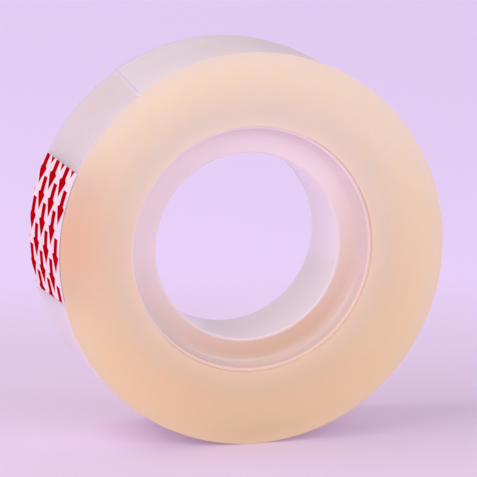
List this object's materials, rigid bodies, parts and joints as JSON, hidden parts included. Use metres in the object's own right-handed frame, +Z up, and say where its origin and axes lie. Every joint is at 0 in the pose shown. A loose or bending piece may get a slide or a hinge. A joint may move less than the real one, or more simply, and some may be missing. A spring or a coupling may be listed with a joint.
{
  "type": "tape roll",
  "caption": "Roll of clear adhesive film tape on a moulded plastic core, with an arrow-printed starter tab on its loose end.",
  "frame": {"origin": "centre of the core's bore, midway between the two side faces", "axes": "+Y along the bore, from the front side face to the back one; +X to the right seen from the front; +Z up, with the roll standing on its rim"},
  "size_m": [0.0532, 0.019, 0.0532],
  "materials": {
    "core_plastic": "satin, milky",
    "wound_film": "gloss, cream where the edges of the film show",
    "clear_film": "gloss",
    "printed_film": "gloss white with red arrows"
  },
  "bodies": {
    "roll": {"core": "core_plastic", "wound_tape": "wound_film"},
    "loose_end": {"tape_end": "clear_film", "starter_tab": "printed_film"}
  },
  "joints": [
    {"name": "end_lift", "type": "hinge", "parent": "roll", "child": "loose_end", "pos_m": [-0.01519, 0, 0.02169], "axis": [0, 1, 0], "range_deg": [0, 100]}
  ]
}
